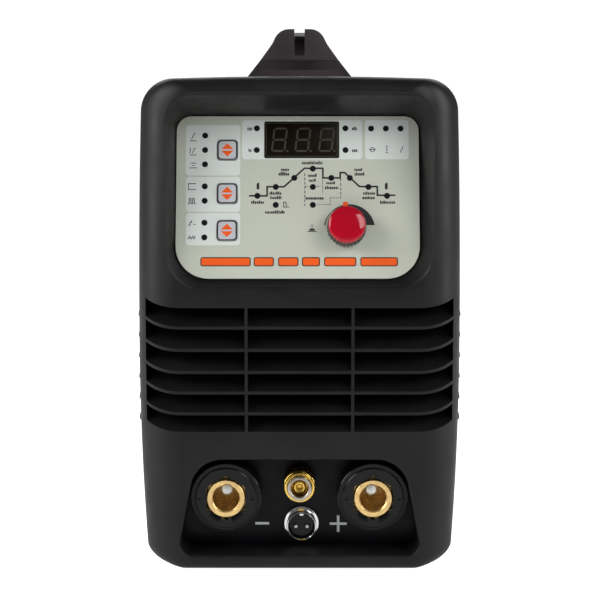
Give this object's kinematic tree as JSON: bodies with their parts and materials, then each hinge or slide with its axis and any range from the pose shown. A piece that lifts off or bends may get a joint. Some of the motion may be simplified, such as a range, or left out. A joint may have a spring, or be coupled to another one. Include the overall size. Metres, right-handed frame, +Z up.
{
  "type": "tig welding machine",
  "caption": "Portable TIG welding inverter: black casing with louvred sides, carrying handle, leaning control panel with keys and a knob, air grille, weld sockets and gas outlet.",
  "frame": {"origin": "on the floor, below the middle of the machine's box", "axes": "+Z up, -Y the way the control panel faces, +X to the right as the panel is read"},
  "size_m": [0.169, 0.3937, 0.2756],
  "materials": {
    "body_plastic": "fine-grained black moulded plastic",
    "casing_paint": "black powder coat with a fine orange peel",
    "tray_zinc": "zinc-plated sheet",
    "foot_rubber": "plain black rubber",
    "handle_plastic": "brownish black moulded plastic, slightly glossy",
    "panel_label": "printed overlay film, satin beige grey",
    "display_window": "dark tinted display window",
    "key_grey": "light grey key with orange triangles",
    "circuit_board": "green solder mask",
    "inner_plastic": "black moulded plastic",
    "knob_skirt": "ribbed dark grey plastic",
    "knob_red": "glossy red plastic",
    "connector_plate": "glossy black sheet with light marks",
    "socket_insulator": "glossy black insulator",
    "socket_brass": "turned brass",
    "gas_brass": "turned brass, pale front collar",
    "connector_chrome": "plated shell",
    "fastener_steel": "plated steel",
    "fan_plastic": "black fan plastic",
    "switch_rocker": "glossy black rocker",
    "busbar_copper": "bare or lacquered copper",
    "hose_blue": "blue gas hose",
    "heatsink_aluminium": "extruded aluminium",
    "ferrite": "dark ferrite",
    "marking_orange": "orange screen print",
    "marking_pale": "pale screen print",
    "marking_dark": "dark screen print",
    "led_lens": "unlit indicator lens",
    "screw_steel": "blackened steel"
  },
  "bodies": {
    "machine": {"base_tray": "tray_zinc", "cable_gland": "inner_plastic", "cable_gland_nut": "inner_plastic", "casing_cover": "casing_paint", "connector_plate": "connector_plate", "control_board": "circuit_board", "control_label": "panel_label", "display_module": "inner_plastic", "display_window": "display_window", "encoder_body": "inner_plastic", "encoder_nut": "fastener_steel", "fan_frame": "fan_plastic", "fan_guard": "fastener_steel", "front_bezel": "body_plastic", "gas_hose_front": "hose_blue", "gas_hose_rear": "hose_blue", "gas_inlet_barb": "gas_brass", "gas_outlet_body": "gas_brass", "gas_outlet_nut": "gas_brass", "gas_solenoid_valve": "gas_brass", "handle": "handle_plastic", "heatsink": "heatsink_aluminium", "indicator_light_guide": "inner_plastic", "mains_switch_body": "inner_plastic", "negative_busbar": "busbar_copper", "negative_lock_pin": "fastener_steel", "negative_socket_body": "socket_brass", "negative_socket_insulator": "socket_insulator", "negative_socket_nut": "socket_brass", "output_choke": "busbar_copper", "positive_busbar": "busbar_copper", "positive_lock_pin": "fastener_steel", "positive_socket_body": "socket_brass", "positive_socket_insulator": "socket_insulator", "positive_socket_nut": "socket_brass", "power_board": "circuit_board", "rear_panel": "body_plastic", "rubber_foot_front_left": "foot_rubber", "rubber_foot_front_right": "foot_rubber", "rubber_foot_rear_left": "foot_rubber", "rubber_foot_rear_right": "foot_rubber", "transformer_core": "ferrite", "transformer_winding": "busbar_copper", "trigger_connector_insert": "inner_plastic", "trigger_connector_nut": "connector_chrome", "trigger_connector_shell": "connector_chrome", "trigger_pin_left": "fastener_steel", "trigger_pin_right": "fastener_steel"},
    "upper_key": {"select_key_upper": "key_grey"},
    "middle_key": {"select_key_middle": "key_grey"},
    "lower_key": {"select_key_lower": "key_grey"},
    "encoder_push_core": {"encoder_plunger": "fastener_steel"},
    "knob": {"encoder_shaft": "fastener_steel", "knob_skirt": "knob_skirt", "knob_cap": "knob_red"},
    "gas_sleeve": {"gas_outlet_sleeve": "gas_brass"},
    "gas_valve": {"gas_outlet_valve": "gas_brass"},
    "switch_rocker": {"mains_switch_rocker": "switch_rocker"},
    "fan_rotor": {"fan_rotor": "fan_plastic"}
  },
  "joints": [
    {"name": "upper_key_press", "type": "slide", "parent": "machine", "child": "upper_key", "axis": [0, 0.9613, -0.2756], "range_m": [0, 0.0006], "stiffness_N_per_m": 900},
    {"name": "middle_key_press", "type": "slide", "parent": "machine", "child": "middle_key", "axis": [0, 0.9613, -0.2756], "range_m": [0, 0.0006], "stiffness_N_per_m": 900},
    {"name": "lower_key_press", "type": "slide", "parent": "machine", "child": "lower_key", "axis": [0, 0.9613, -0.2756], "range_m": [0, 0.0006], "stiffness_N_per_m": 900},
    {"name": "knob_push", "type": "slide", "parent": "machine", "child": "encoder_push_core", "axis": [0, 0.9613, -0.2756], "range_m": [0, 0.0004], "stiffness_N_per_m": 1500},
    {"name": "knob_turn", "type": "hinge", "parent": "encoder_push_core", "child": "knob", "pos_m": [0.0232, -0.18308, 0.17533], "axis": [0, -0.9613, 0.2756], "continuous": true},
    {"name": "gas_sleeve_slide", "type": "slide", "parent": "machine", "child": "gas_sleeve", "axis": [0, 1, 0], "range_m": [0, 0.003], "stiffness_N_per_m": 900},
    {"name": "gas_valve_push", "type": "slide", "parent": "machine", "child": "gas_valve", "axis": [0, 1, 0], "range_m": [0, 0.002], "stiffness_N_per_m": 600},
    {"name": "mains_switch_rock", "type": "hinge", "parent": "machine", "child": "switch_rocker", "pos_m": [0, 0.172, 0.203], "axis": [1, 0, 0], "range_deg": [0, 18]},
    {"name": "fan_spin", "type": "hinge", "parent": "machine", "child": "fan_rotor", "pos_m": [0, 0.1609, 0.095], "axis": [0, 1, 0], "continuous": true}
  ]
}
